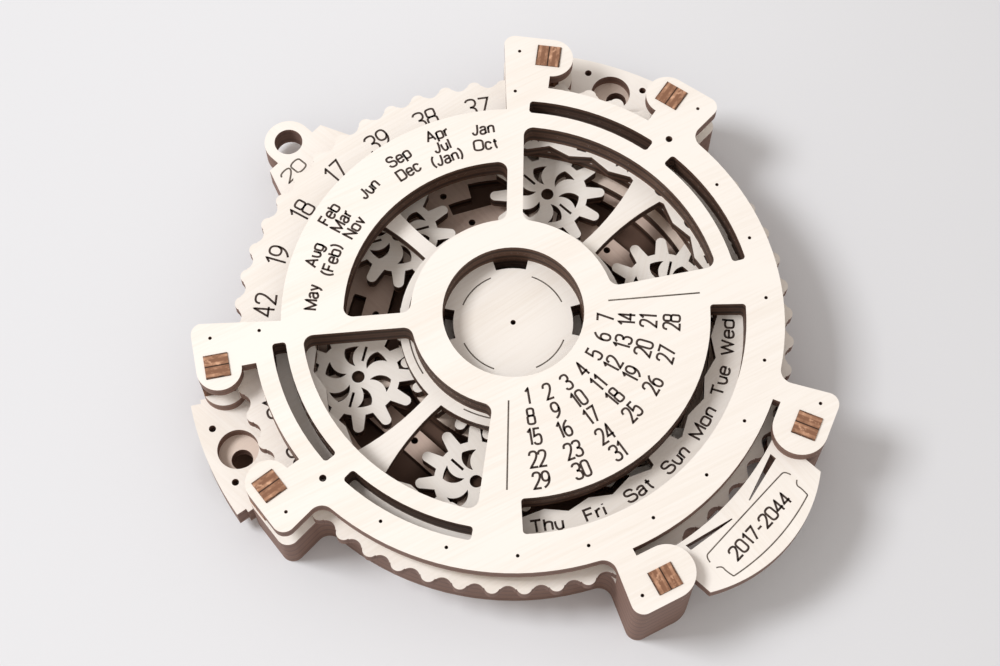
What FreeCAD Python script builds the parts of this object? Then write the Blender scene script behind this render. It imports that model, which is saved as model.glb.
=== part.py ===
import FreeCAD, Part
import math
import os
import Sketcher

# Perpetual desk calendar made of seven stacked plywood plies. Millimetres and degrees.
# Z is up out of the dial. The origin is on the disc axis at the bottom face of the base plate.
# Y points at the hanging lobe and minus Y at the year label.

SIZES = [
    # Stock and clearances
    ("ply", 3.0),
    ("face_gap", 0.1),
    ("fit_gap", 0.05),
    ("run_gap", 0.05),
    ("press_gap", 0.02),
    ("mark_radius", 0.4),
    ("pin_mark_radius", 0.8),
    # Front plate ring, windows and panels
    ("ring_outer", 59.8),
    ("ring_neck", 57.4),
    ("hub_hole", 15.65),
    ("hub_ring", 22.7),
    ("months_outer", 51.2),
    ("months_inner", 37.5),
    ("months_half_angle", 45.5),
    ("side_window_outer", 46.6),
    ("window_corner", 2.2),
    ("spoke_angle", 42.0),
    ("spoke_width", 3.6),
    ("panel_root_angle", -31.6),
    ("panel_root_radius", 23.8),
    ("panel_tip_angle", -33.3),
    ("panel_tip_radius", 43.9),
    ("weekday_inner", 43.45),
    ("weekday_outer", 51.35),
    ("weekday_half_angle", 45.1),
    ("slot_inner", 50.4),
    ("slot_outer", 53.45),
    ("slot_corner", 0.8),
    ("upper_slot_start", 5.75),
    ("upper_slot_end", 38.65),
    ("lower_slot_start", -33.2),
    ("lower_slot_end", -0.05),
    ("dot_circle", 56.0),
    ("dot_pitch_angle", 15.43),
    ("gauge_circle", 56.2),
    ("gauge_angle", 3.3),
    ("band_dot_angle", 42.3),
    # Ears with the posts, side pairs and bottom pair
    ("pair_angle", 22.3),
    ("pair_ear_angle", 13.3),
    ("pair_edge_angle", 22.3),
    ("pair_ear_outer", 70.5),
    ("pair_ear_depth", 9.9),
    ("pair_lobe_reach", 5.8),
    ("pair_notch_angle", 12.4),
    ("pair_post_inset", 4.6),
    ("pair_dot_inset", 3.7),
    ("pair_dot_angle", 19.2),
    ("foot_ear_angle", 19.8),
    ("foot_edge_angle", 27.1),
    ("foot_ear_outer", 73.5),
    ("foot_ear_depth", 12.0),
    ("foot_lobe_reach", 7.2),
    ("foot_notch_angle", 22.5),
    ("foot_post_inset", 4.95),
    ("foot_dot_inset", 3.7),
    ("foot_dot_angle", 24.7),
    ("ear_corner", 2.6),
    ("root_fillet", 3.0),
    ("post_width", 5.3),
    ("post_ply", 2.75),
    ("post_proud", 0.3),
    ("post_shoulder", 1.6),
    # Brackets and hanging lobe of the two lowest plies
    ("bracket_outer", 73.9),
    ("bracket_half_angle", 11.6),
    ("bracket_notch_width", 1.8),
    ("bracket_notch_depth", 2.3),
    ("bracket_hole_inset", 7.1),
    ("bracket_hole", 4.6),
    ("bracket_back_hole", 2.4),
    ("bracket_back_turn", 1.3),
    ("bracket_pin_inset", 3.4),
    ("bracket_pin_angle", 5.6),
    ("lobe_centre", 72.3),
    ("lobe_radius", 5.65),
    ("lobe_hole", 3.3),
    ("lobe_shoulder_half", 8.4),
    ("lobe_shoulder_height", 70.0),
    ("lobe_foot_half", 13.4),
    # Lower plies
    ("middle_inner", 45.6),
    ("lower_inner", 50.4),
    ("back_inner", 44.6),
    ("back_hub", 26.0),
    ("back_arm_width", 6.4),
    ("base_inner", 42.5),
    ("carrier_apothem", 32.7),
    ("carrier_width", 5.7),
    ("carrier_mark_circle", 32.4),
    ("web_inner", 38.7),
    ("web_half_angle", 32.5),
    ("web_join_half_angle", 24.0),
    ("web_mark_circle", 41.2),
    ("web_mark_angle", 23.7),
    # Year label
    ("label_arc_radius", 33.8),
    ("label_arc_centre", 44.5),
    ("label_half_width", 18.2),
    ("label_inner", 62.9),
    ("slit_end_x", 14.0),
    ("slit_end_inner", 62.5),
    ("slit_end_outer", 64.0),
    ("slit_tip_x", 2.8),
    ("slit_tip_inner", 65.75),
    ("slit_tip_outer", 66.05),
    ("spacer_depth", 10.3),
    # Calendar wheel
    ("wheel_rim", 61.5),
    ("scallop_count", 56.0),
    ("scallop_radius", 2.15),
    ("scallop_centre", 62.9),
    ("crest_radius", 1.7),
    ("crest_centre", 60.9),
    ("zigzag_count", 28.0),
    ("zigzag_inner", 44.2),
    ("zigzag_outer", 45.7),
    ("wheel_hub", 25.4),
    ("wheel_spoke_root", 4.3),
    ("wheel_spoke_tip", 8.4),
    ("wheel_spoke_arc", 58.0),
    ("arc_slot_inner", 13.4),
    ("arc_slot_outer", 15.7),
    ("arc_slot_half_angle", 14.6),
    ("centre_mark", 0.6),
    # Gears and hub
    ("planet_circle", 36.3),
    ("planet_teeth", 12.0),
    ("planet_root", 9.3),
    ("planet_tip", 13.35),
    ("planet_tooth_base", 1.7),
    ("planet_tooth_round", 1.2),
    ("planet_bore", 1.45),
    ("sun_teeth", 24.0),
    ("sun_root", 22.3),
    ("sun_tip", 26.3),
    ("sun_tooth_base", 1.75),
    ("sun_tooth_round", 1.2),
    ("fan_outer", 7.4),
    ("fan_side", 5.2),
    ("fan_inner", 2.7),
    ("fan_point_angle", -2.0),
    ("fan_tip_angle", -17.0),
    ("fan_heel_angle", 8.0),
    ("fan_bulge_angle", 17.0),
    ("fan_hollow_angle", -2.5),
    ("fan_axis_angle", 15.0),
    ("vein_inner", 3.9),
    ("vein_outer", 7.5),
    ("vein_width", 0.6),
    ("axle_drop", 1.3),
    ("pivot_radius", 4.0),
    ("hub_spacer_radius", 24.1),
    ("dowel_radius", 1.5),
    ("dowel_circle", 19.4),
]

doc = FreeCAD.newDocument("desk_calendar")
sheet = doc.addObject("Spreadsheet::Sheet", "sizes")
for row, (alias, value) in enumerate(SIZES, start=1):
    sheet.set("A%d" % row, alias)
    sheet.set("B%d" % row, "%.10g" % value)
    sheet.setAlias("B%d" % row, alias)
doc.recompute()

nodes = []


def size(alias):
    """The number behind a name in the sizes sheet."""
    return float(sheet.get(alias))


def node(obj, label, level="0 * sizes.ply"):
    """Name a finished piece and lift it to its level in the stack."""
    obj.Label = label
    obj.setExpression("Placement.Base.z", level)
    nodes.append(obj)
    return obj


# Flat outlines, used for plates whose edges join arcs and free lines


def at(radius, angle):
    """Point of the disc plane given by radius and angle in degrees."""
    turn = math.radians(angle)
    return FreeCAD.Vector(radius * math.cos(turn), radius * math.sin(turn), 0)


def disc(radius, centre=FreeCAD.Vector(0, 0, 0)):
    """Round face."""
    return Part.Face(Part.Wire(Part.makeCircle(radius, centre)))


def polygon(points):
    """Face with straight edges through the points, its normal pointing up."""
    face = Part.Face(Part.makePolygon(points + [points[0]]))
    if face.normalAt(0, 0).z > 0:
        return face
    return Part.Face(Part.makePolygon([points[0]] + points[::-1]))


def sector(inner, outer, start, end):
    """Ring sector between two radii and two angles."""
    middle = (start + end) / 2.0
    low = Part.Arc(at(inner, start), at(inner, middle), at(inner, end)).toShape()
    high = Part.Arc(at(outer, start), at(outer, middle), at(outer, end)).toShape()
    first = Part.makeLine(at(inner, start), at(outer, start))
    last = Part.makeLine(at(inner, end), at(outer, end))
    return Part.Face(Part.Wire(Part.__sortEdges__([low, last, high, first])))


def round_sector(inner, outer, start, end, radius):
    """Ring sector with rounded corners."""
    turn = math.degrees(radius / inner)
    core = sector(inner + radius, outer - radius, start + turn, end - turn)
    return core.makeOffset2D(radius).Faces[0]


def bar(width, start, end, angle):
    """Straight bar along a radius."""
    half = width / 2.0
    shape = polygon([
        FreeCAD.Vector(start, -half, 0),
        FreeCAD.Vector(end, -half, 0),
        FreeCAD.Vector(end, half, 0),
        FreeCAD.Vector(start, half, 0),
    ])
    shape.rotate(FreeCAD.Vector(0, 0, 0), FreeCAD.Vector(0, 0, 1), angle)
    return shape


def softened(face, radius):
    """The face with its outward corners rounded."""
    return face.Faces[0].makeOffset2D(-radius).Faces[0].makeOffset2D(radius).Faces[0]


def mirrored(face):
    """The face and its mirror image across the upright axis."""
    return [face, face.mirror(FreeCAD.Vector(0, 0, 0), FreeCAD.Vector(1, 0, 0))]


def raised(faces):
    """Faces raised to the thickness of one ply."""
    return [face.extrude(FreeCAD.Vector(0, 0, size("ply"))) for face in faces]


def joined(faces):
    """One ply from several overlapping outlines."""
    solids = raised(faces)
    return solids[0].multiFuse(solids[1:]).removeSplitter()


def without(shape, faces):
    """The ply with openings of the given outlines."""
    return shape.cut(Part.makeCompound(raised(faces)))


def plate(label, shape, level):
    """A cut ply set at its level."""
    piece = doc.addObject("Part::Feature", label)
    piece.Shape = shape.removeSplitter().Solids[0]
    return node(piece, label, level)


def pair_ear(side):
    """Ear of a side pair, side 1 is the upper ear and -1 the lower one."""
    axis = size("pair_angle") + side * size("pair_ear_angle")
    edge = size("pair_angle") + side * size("pair_edge_angle")
    notch = size("pair_angle") + side * size("pair_notch_angle")
    outer = size("pair_ear_outer")
    inner = outer - size("pair_ear_depth")
    round_end = (outer - inner) / 2.0
    reach = size("pair_lobe_reach") - round_end
    return ear(axis, edge, notch, outer, inner, round_end, reach, side)


def foot_ear():
    """Ear beside the year label, on the plus X side."""
    axis = size("foot_ear_angle") - 90
    edge = size("foot_edge_angle") - 90
    notch = size("foot_notch_angle") - 90
    outer = size("foot_ear_outer")
    inner = outer - size("foot_ear_depth")
    round_end = (outer - inner) / 2.0
    reach = size("foot_lobe_reach") - round_end
    return ear(axis, edge, notch, outer, inner, round_end, reach, 1)


def ear(axis, edge, notch, outer, inner, round_end, reach, side):
    """Ear outline with a square corner on one side and a round lobe on the other."""
    start = size("slot_outer")
    slope = math.tan(math.radians(abs(edge - axis)))
    stub = inner * math.tan(math.radians(abs(notch - axis)))
    stub = stub if (notch - axis) * side > 0 else -stub
    body = polygon([
        FreeCAD.Vector(start, stub * side, 0),
        FreeCAD.Vector(outer, stub * side, 0),
        FreeCAD.Vector(outer, outer * slope * side, 0),
        FreeCAD.Vector(start, start * slope * side, 0),
    ])
    body = softened(body, size("ear_corner"))
    flat = outer - size("ear_corner") * (1.0 + slope)
    fill = polygon([
        FreeCAD.Vector(start, stub * side, 0),
        FreeCAD.Vector(flat, stub * side, 0),
        FreeCAD.Vector(flat, flat * slope * side, 0),
        FreeCAD.Vector(start, start * slope * side, 0),
    ])
    middle = (outer + inner) / 2.0
    end = disc(round_end, FreeCAD.Vector(middle, -reach * side, 0))
    neck = polygon([
        FreeCAD.Vector(inner, -reach * side, 0),
        FreeCAD.Vector(outer, -reach * side, 0),
        FreeCAD.Vector(outer, (stub + size("ear_corner")) * side, 0),
        FreeCAD.Vector(inner, (stub + size("ear_corner")) * side, 0),
    ])
    shape = body.multiFuse([fill, end, neck]).removeSplitter().Faces[0]
    shape.rotate(FreeCAD.Vector(0, 0, 0), FreeCAD.Vector(0, 0, 1), axis)
    return shape


def corner_fill(edge, side):
    """Rounded inner corner between the ring and the radial side of an ear."""
    radius = size("root_fillet")
    ring = size("ring_outer")
    turn = math.degrees(math.asin(radius / (ring + radius)))
    centre = at(ring + radius, edge + side * turn)
    touch = at(math.sqrt((ring + radius) ** 2 - radius ** 2), edge)
    corner = polygon([at(ring - size("ply"), edge), touch, centre, at(ring, edge + side * turn)])
    return corner.cut(disc(radius, centre)).Faces[0]


def post_hole(kind, axis):
    """Rectangular hole for one post, set in from the end of its ear."""
    circle = size(kind + "_ear_outer") - size(kind + "_post_inset")
    grow = size("fit_gap")
    half = size("post_width") / 2.0 + grow
    return bar(2 * (size("post_ply") + grow), circle - half, circle + half, axis)


def post_holes():
    """The six post holes of every plate with ears."""
    faces = []
    for side in (1, -1):
        axis = size("pair_angle") + side * size("pair_ear_angle")
        faces += mirrored(post_hole("pair", axis))
    faces += mirrored(post_hole("foot", size("foot_ear_angle") - 90))
    return faces


def all_ears():
    """The six ears and the filled corners beside four of them."""
    faces = mirrored(pair_ear(1)) + mirrored(pair_ear(-1)) + mirrored(foot_ear())
    faces += mirrored(corner_fill(size("pair_angle") - size("pair_edge_angle"), -1))
    faces += mirrored(corner_fill(size("foot_edge_angle") - 90, 1))
    return faces


def date_panel():
    """The part of the side window's sector that the date panel keeps solid."""
    root = at(size("panel_root_radius"), size("panel_root_angle"))
    tip = at(size("panel_tip_radius"), size("panel_tip_angle"))
    along = tip.sub(root)
    near = root.sub(along)
    far = tip.add(along)
    return polygon([near, far, at(2 * size("ring_outer"), -90), FreeCAD.Vector(0, -size("hub_hole"), 0)])


def months_gap():
    """Sector above the months band that is open to the rim."""
    half = size("months_half_angle")
    return sector(size("months_outer"), 2 * size("ring_outer"), 90 - half, 90 + half)


def window_outlines():
    """Hub hole, windows and slots shared by the front plate and the window plate."""
    hub = size("hub_ring")
    spoke = size("spoke_angle")
    width = size("spoke_width")
    spokes = [bar(width, 0, size("ring_outer"), spoke), bar(width, 0, size("ring_outer"), 180 - spoke)]
    months = sector(hub, size("months_inner"), spoke, 180 - spoke).cut(Part.makeCompound(spokes))
    side = sector(hub, size("side_window_outer"), size("panel_tip_angle") * 2, spoke)
    side = side.cut(Part.makeCompound(spokes + [date_panel()]))
    weekday = round_sector(
        size("weekday_inner"),
        size("weekday_outer"),
        -90 - size("weekday_half_angle"),
        -90 + size("weekday_half_angle"),
        size("slot_corner"),
    )
    windows = [softened(months, size("window_corner")), weekday]
    windows += mirrored(softened(side, size("window_corner")))
    slots = []
    inner, outer, corner = size("slot_inner"), size("slot_outer"), size("slot_corner")
    for first, last in (("upper_slot_start", "upper_slot_end"), ("lower_slot_start", "lower_slot_end")):
        slots += mirrored(round_sector(inner, outer, size(first), size(last), corner))
    return [disc(size("hub_hole"))] + windows + slots


def front_outline():
    """Front plate with its windows, slots and marks."""
    ring = disc(size("ring_outer"))
    start = size("pair_angle") - size("pair_notch_angle")
    end = size("pair_angle") + size("pair_notch_angle")
    necks = mirrored(sector(size("ring_neck"), size("ring_outer") + size("ply"), start, end))
    outline = joined([ring.cut(Part.makeCompound([months_gap()] + necks))] + all_ears())
    outline = without(outline, [months_gap()])
    marks = []
    mark = size("mark_radius")
    for step in range(-5, 6):
        marks.append(disc(mark, at(size("dot_circle"), -90 + step * size("dot_pitch_angle"))))
    marks += mirrored(disc(mark, at(size("dot_circle"), size("band_dot_angle"))))
    marks += mirrored(disc(size("pin_mark_radius"), at(size("gauge_circle"), size("gauge_angle"))))
    for sign in (1, -1):
        angle = size("pair_angle") + sign * size("pair_dot_angle")
        marks += mirrored(disc(mark, at(size("pair_ear_outer") - size("pair_dot_inset"), angle)))
    foot_circle = size("foot_ear_outer") - size("foot_dot_inset")
    marks += mirrored(disc(mark, at(foot_circle, size("foot_dot_angle") - 90)))
    return without(outline, window_outlines() + marks + post_holes())


def window_outline():
    """Ply glued under the front plate, with the same windows and no ears."""
    ring = disc(size("ring_neck")).cut(months_gap()).Faces[0]
    return without(raised([ring])[0], window_outlines())


def frame_outline(inner, bracket_hole, turn):
    """Outline of the second and third ply, with brackets and the hanging lobe."""
    solid = [disc(size("ring_outer"))] + all_ears()
    middle = size("pair_angle")
    half = size("bracket_half_angle")
    edge = size("pair_ear_angle")
    bracket = sector(size("back_inner"), size("bracket_outer"), middle - half, middle + half)
    web_outer = size("pair_ear_outer") - size("ear_corner")
    web = sector(size("back_inner"), web_outer, middle - edge, middle + edge)
    solid += mirrored(bracket) + mirrored(web)
    head = disc(size("lobe_radius"), FreeCAD.Vector(0, size("lobe_centre"), 0))
    shoulder = size("lobe_shoulder_half")
    height = size("lobe_shoulder_height")
    foot = size("lobe_foot_half")
    root = size("ring_neck")
    neck = size("lobe_radius")
    body = polygon([
        FreeCAD.Vector(-foot, root, 0),
        FreeCAD.Vector(foot, root, 0),
        FreeCAD.Vector(shoulder, height, 0),
        FreeCAD.Vector(neck, height, 0),
        FreeCAD.Vector(neck, size("lobe_centre"), 0),
        FreeCAD.Vector(-neck, size("lobe_centre"), 0),
        FreeCAD.Vector(-neck, height, 0),
        FreeCAD.Vector(-shoulder, height, 0),
    ])
    outline = joined(solid + [head, body])
    cuts = [disc(size("lobe_hole"), FreeCAD.Vector(0, size("lobe_centre"), 0))]
    hole_circle = size("bracket_outer") - size("bracket_hole_inset")
    cuts += mirrored(disc(bracket_hole, at(hole_circle, middle - turn)))
    depth = size("bracket_notch_depth")
    for sign in (1, -1):
        pin_circle = size("bracket_outer") - size("bracket_pin_inset")
        pin = at(pin_circle, middle + sign * size("bracket_pin_angle"))
        cuts += mirrored(disc(size("pin_mark_radius"), pin))
        notch = bar(size("bracket_notch_width"), size("bracket_outer") - depth, 2 * size("bracket_outer"),
                    middle + sign * half)
        cuts += mirrored(notch)
    cuts += post_holes()
    cuts.append(disc(inner))
    return without(outline, cuts)


def arms():
    """Hub disc and the six arms that reach out to the planet axles."""
    reach = size("back_inner") + size("ply")
    faces = [bar(size("back_arm_width"), 0, reach, 30 + 60 * step) for step in range(6)]
    return [disc(size("back_hub"))] + faces


def axle_holes():
    """Holes for the hub pivot and the six planet axles."""
    faces = [disc(size("pivot_radius") + size("press_gap"))]
    axle = size("planet_bore") - size("run_gap") + size("press_gap")
    faces += [disc(axle, at(size("planet_circle"), 30 + 60 * step)) for step in range(6)]
    return faces


def back_outline():
    """Second ply with its hub and six axle arms."""
    outline = frame_outline(size("back_inner"), size("bracket_back_hole"), size("bracket_back_turn"))
    outline = outline.multiFuse(raised(arms())).removeSplitter()
    return without(outline, axle_holes())


def base_outline():
    """Lowest ply: ring with ears, hub, arms and the six-sided carrier of the planet axles."""
    outline = joined([disc(size("ring_outer"))] + all_ears())
    outline = without(outline, post_holes() + [disc(size("base_inner"))])
    half = size("carrier_width") / 2.0
    middle = size("carrier_apothem")
    length = 2 * (middle + half) * math.tan(math.radians(30))
    carrier = [bar(length, middle - half, middle + half, 60 * step) for step in range(6)]
    rim = size("base_inner") + size("ply")
    wide = size("web_half_angle")
    narrow = size("web_join_half_angle")
    web = [sector(size("web_inner"), rim, 90 - wide, 90 + wide)]
    web.append(sector(middle, rim, 90 - narrow, 90 + narrow))
    outline = outline.multiFuse(raised(arms() + carrier + web)).removeSplitter()
    marks = []
    for step in range(6):
        marks.append(disc(size("pin_mark_radius"), at(size("carrier_mark_circle"), 60 * step)))
    web_mark = at(size("web_mark_circle"), 90 - size("web_mark_angle"))
    marks += mirrored(disc(size("pin_mark_radius"), web_mark))
    return without(outline, marks + axle_holes())


def middle_outline():
    """Ring with ears that carries the rim of the wheel."""
    outline = joined([disc(size("ring_outer"))] + all_ears())
    cuts = [disc(size("middle_inner"))] + post_holes()
    return without(outline, cuts)


def label_outline():
    """Year label plate between the two foot ears, with its two slits."""
    centre = FreeCAD.Vector(0, -size("label_arc_centre"), 0)
    width = 2 * size("label_half_width")
    band = disc(size("label_arc_radius"), centre).common(bar(width, size("label_arc_centre"),
                                                             2 * size("label_inner"), -90))
    outline = joined([band] + mirrored(foot_ear()))
    slit = softened(polygon([
        FreeCAD.Vector(size("slit_end_x"), -size("slit_end_inner"), 0),
        FreeCAD.Vector(size("slit_end_x"), -size("slit_end_outer"), 0),
        FreeCAD.Vector(size("slit_tip_x"), -size("slit_tip_outer"), 0),
        FreeCAD.Vector(size("slit_tip_x"), -size("slit_tip_inner"), 0),
    ]), size("fit_gap"))
    cuts = [disc(size("label_inner"))] + mirrored(slit)
    cuts += mirrored(post_hole("foot", size("foot_ear_angle") - 90))
    return without(outline, cuts)


def spacer_outline():
    """Spacer under the label plate at the plus X foot ear."""
    inner = size("foot_ear_outer") - size("spacer_depth")
    cuts = [disc(inner), post_hole("foot", size("foot_ear_angle") - 90)]
    return without(joined([foot_ear()]), cuts)


plate("base_plate", base_outline(), "0 * sizes.ply")
plate("back_plate", back_outline(), "sizes.ply")
plate("lower_frame", frame_outline(size("lower_inner"), size("bracket_hole"), 0), "2 * sizes.ply")
plate("middle_ring", middle_outline(), "3 * sizes.ply")
spacer_right, spacer_left = mirrored(spacer_outline())
plate("label_spacer_right", spacer_right, "4 * sizes.ply")
plate("label_spacer_left", spacer_left, "4 * sizes.ply")
plate("label_plate", label_outline(), "5 * sizes.ply")
plate("window_plate", window_outline(), "5 * sizes.ply")
plate("front_plate", front_outline(), "6 * sizes.ply")


# Sketched bodies: gears and the wheel


class Drawing:
    """A sketch on the flat of a body whose sizes follow the sheet."""

    def __init__(self, body, name):
        self.sketch = body.newObject("Sketcher::SketchObject", name)
        self.count = 0

    def bind(self, kind, args, expression):
        """Add a size constraint that follows an expression."""
        index = self.sketch.addConstraint(Sketcher.Constraint(kind, *args))
        label = "size_%d" % self.count
        self.count += 1
        self.sketch.renameConstraint(index, label)
        self.sketch.setExpression("Constraints." + label, expression)

    def tie(self, kind, *args):
        """Add a constraint without a size."""
        self.sketch.addConstraint(Sketcher.Constraint(kind, *args))

    def circle(self, radius, expression, x_value=0.0, x_expression=None):
        """Circle centred on the sketch's X axis."""
        centre = FreeCAD.Vector(x_value, 0, 0)
        edge = self.sketch.addGeometry(Part.Circle(centre, FreeCAD.Vector(0, 0, 1), radius), False)
        self.bind("Radius", (edge, radius), expression)
        if x_expression is None:
            self.tie("Coincident", edge, 3, -1, 1)
        else:
            self.tie("PointOnObject", edge, 3, -1)
            self.bind("DistanceX", (-1, 1, edge, 3, x_value), x_expression)
        return edge

    def pin(self, edge, end, x_value, y_value, x_expression, y_expression):
        """Fix an end of an edge by its two coordinates."""
        self.bind("DistanceX", (-1, 1, edge, end, x_value), x_expression)
        self.bind("DistanceY", (-1, 1, edge, end, y_value), y_expression)

    def loop(self, points, bulges):
        """Closed outline through pinned points, straight or with an arc through a bulge point."""
        total = len(points)
        edges = []
        for index in range(total):
            here = FreeCAD.Vector(points[index][0], points[index][1], 0)
            there_point = points[(index + 1) % total]
            there = FreeCAD.Vector(there_point[0], there_point[1], 0)
            bulge = bulges[index]
            if bulge is None:
                edges.append((self.sketch.addGeometry(Part.LineSegment(here, there), False), 1, 2))
                continue
            arc = Part.Arc(here, FreeCAD.Vector(bulge[0], bulge[1], 0), there)
            edge = self.sketch.addGeometry(arc, False)
            begins = self.sketch.getPoint(edge, 1).distanceToPoint(here) < size("fit_gap")
            edges.append((edge, 1, 2) if begins else (edge, 2, 1))
            if len(bulge) == 3:
                self.bind("Radius", (edge, self.sketch.Geometry[edge].Radius), bulge[2])
            else:
                self.bind("DistanceX", (-1, 1, edge, 3, bulge[3]), bulge[2])
        for index in range(total):
            edge, start, end = edges[index]
            after = edges[(index + 1) % total]
            self.tie("Coincident", edge, end, after[0], after[1])
        for index in range(total):
            edge, start, end = edges[index]
            self.pin(edge, start, points[index][0], points[index][1], points[index][2], points[index][3])


def new_body(label):
    """An empty sketched body."""
    body = doc.addObject("PartDesign::Body", label)
    return body


def pad(body, drawing, name, expression):
    """Raise a sketch to a thickness."""
    feature = body.newObject("PartDesign::Pad", name)
    feature.Profile = drawing.sketch
    feature.setExpression("Length", expression)
    body.Tip = feature
    return feature


def pocket(body, drawing, name, expression):
    """Cut a sketch upward through the body."""
    feature = body.newObject("PartDesign::Pocket", name)
    feature.Profile = drawing.sketch
    feature.Reversed = True
    feature.setExpression("Length", expression)
    body.Tip = feature
    return feature


def around(body, feature, drawing, name, expression):
    """Repeat a feature evenly around the axis."""
    pattern = body.newObject("PartDesign::PolarPattern", name)
    pattern.Originals = [feature]
    pattern.Axis = (drawing.sketch, ["N_Axis"])
    pattern.Angle = 360
    pattern.setExpression("Occurrences", expression)
    body.Tip = pattern
    return pattern


def turned(angle):
    """Placement of a sketch turned about the axis."""
    return FreeCAD.Placement(FreeCAD.Vector(0, 0, 0), FreeCAD.Rotation(FreeCAD.Vector(0, 0, 1), angle))


def tooth(body, name, prefix, thickness):
    """One gear tooth pointing along X: straight flanks that meet a round tip."""
    drawing = Drawing(body, name)
    base = size(prefix + "_tooth_base")
    small = size(prefix + "_tooth_round")
    tip = size(prefix + "_tip")
    foot = size(prefix + "_root") - small
    centre = tip - small
    foot_text = "sizes.{0}_root - sizes.{0}_tooth_round".format(prefix)
    centre_text = "sizes.{0}_tip - sizes.{0}_tooth_round".format(prefix)
    base_text = "sizes.%s_tooth_base" % prefix
    small_text = "sizes.%s_tooth_round" % prefix
    points = [
        (foot, -base, foot_text, "-" + base_text),
        (centre, -small, centre_text, "-" + small_text),
        (centre, small, centre_text, small_text),
        (foot, base, foot_text, base_text),
    ]
    drawing.loop(points, [None, (tip, 0, centre_text, centre), None, None])
    feature = pad(body, drawing, name + "_pad", thickness)
    around(body, feature, drawing, name + "_ring", "sizes.%s_teeth" % prefix)


def polar_text(radius, angle):
    """Expressions for the two coordinates of a polar point."""
    return "%s * cos(%s * 1 deg)" % (radius, angle), "%s * sin(%s * 1 deg)" % (radius, angle)


def polar_point(radius_name, angle_name, offset=0.0):
    """Pinned point for a loop from a radius and an angle in the sheet."""
    radius = size(radius_name)
    angle = math.radians(size(angle_name) + offset)
    angle_text = "(sizes.%s + %.10g)" % (angle_name, offset) if offset else "sizes." + angle_name
    texts = polar_text("sizes." + radius_name, angle_text)
    return (radius * math.cos(angle), radius * math.sin(angle)) + texts


def arc_radius(first, middle, last):
    """Radius of the arc through three points."""
    arc = Part.Arc(*[FreeCAD.Vector(point[0], point[1], 0) for point in (first, middle, last)])
    return arc.toShape().Curve.Radius


def planet(index):
    """Planet gear with a bore, six fan openings and two slits in line."""
    label = "planet_gear_%d" % index
    body = new_body(label)
    thickness = "sizes.ply - 2 * sizes.face_gap"
    core = Drawing(body, "core_%d" % index)
    core.circle(size("planet_root"), "sizes.planet_root")
    pad(body, core, "core_pad_%d" % index, thickness)
    tooth(body, "planet_tooth_%d" % index, "planet", thickness)
    bore = Drawing(body, "bore_%d" % index)
    bore.circle(size("planet_bore"), "sizes.planet_bore")
    pocket(body, bore, "bore_cut_%d" % index, "sizes.ply")
    fan = Drawing(body, "fan_%d" % index)
    tip = polar_point("fan_outer", "fan_tip_angle")
    heel = polar_point("fan_outer", "fan_heel_angle")
    point = polar_point("fan_inner", "fan_point_angle")
    bulge = polar_point("fan_side", "fan_bulge_angle")
    hollow = polar_point("fan_side", "fan_hollow_angle")
    rim_angle = math.radians((size("fan_tip_angle") + size("fan_heel_angle")) / 2.0)
    rim = (size("fan_outer") * math.cos(rim_angle), size("fan_outer") * math.sin(rim_angle))
    bulge_text = "%.10g * sizes.fan_outer" % (arc_radius(heel, bulge, point) / size("fan_outer"))
    hollow_text = "%.10g * sizes.fan_outer" % (arc_radius(point, hollow, tip) / size("fan_outer"))
    bulges = [
        (rim[0], rim[1], "sizes.fan_outer"),
        (bulge[0], bulge[1], bulge_text),
        (hollow[0], hollow[1], hollow_text),
    ]
    fan.loop([tip, heel, point], bulges)
    fan.sketch.Placement = turned(size("fan_axis_angle"))
    opening = pocket(body, fan, "fan_cut_%d" % index, "sizes.ply")
    around(body, opening, fan, "fan_ring_%d" % index, "sizes.planet_teeth / 2")
    vein = Drawing(body, "vein_%d" % index)
    low, high, half = size("vein_inner"), size("vein_outer"), size("vein_width") / 2.0
    vein.loop([
        (low, -half, "sizes.vein_inner", "-sizes.vein_width / 2"),
        (high, -half, "sizes.vein_outer", "-sizes.vein_width / 2"),
        (high, half, "sizes.vein_outer", "sizes.vein_width / 2"),
        (low, half, "sizes.vein_inner", "sizes.vein_width / 2"),
    ], [None, None, None, None])
    vein.sketch.Placement = turned(45)
    cut = pocket(body, vein, "vein_cut_%d" % index, "sizes.ply")
    around(body, cut, vein, "vein_pair_%d" % index, "sizes.planet_teeth / 6")
    angle = 30 + 60 * (index - 1)
    body.setExpression("Placement.Base.x", "sizes.planet_circle * cos(%d * 1 deg)" % angle)
    body.setExpression("Placement.Base.y", "sizes.planet_circle * sin(%d * 1 deg)" % angle)
    body.Placement.Rotation = FreeCAD.Rotation(FreeCAD.Vector(0, 0, 1), angle + 15)
    return node(body, label, "2 * sizes.ply + sizes.face_gap")


def dowel_cuts(body, name, thickness):
    """Four dowel holes near the hub."""
    drawing = Drawing(body, name)
    drawing.circle(size("dowel_radius") + size("press_gap"), "sizes.dowel_radius + sizes.press_gap",
                   size("dowel_circle"), "sizes.dowel_circle")
    cut = pocket(body, drawing, name + "_cut", thickness)
    around(body, cut, drawing, name + "_ring", "sizes.sun_teeth / 6")


def sun():
    """Sun gear fixed to the wheel."""
    body = new_body("sun_gear")
    core = Drawing(body, "sun_core")
    core.circle(size("sun_root"), "sizes.sun_root")
    pad(body, core, "sun_core_pad", "sizes.ply")
    tooth(body, "sun_tooth", "sun", "sizes.ply")
    bore = Drawing(body, "sun_bore")
    bore.circle(size("pivot_radius") + size("run_gap"), "sizes.pivot_radius + sizes.run_gap")
    pocket(body, bore, "sun_bore_cut", "2 * sizes.ply")
    dowel_cuts(body, "sun_dowel", "2 * sizes.ply")
    return node(body, "sun_gear", "2 * sizes.ply + sizes.face_gap")


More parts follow.
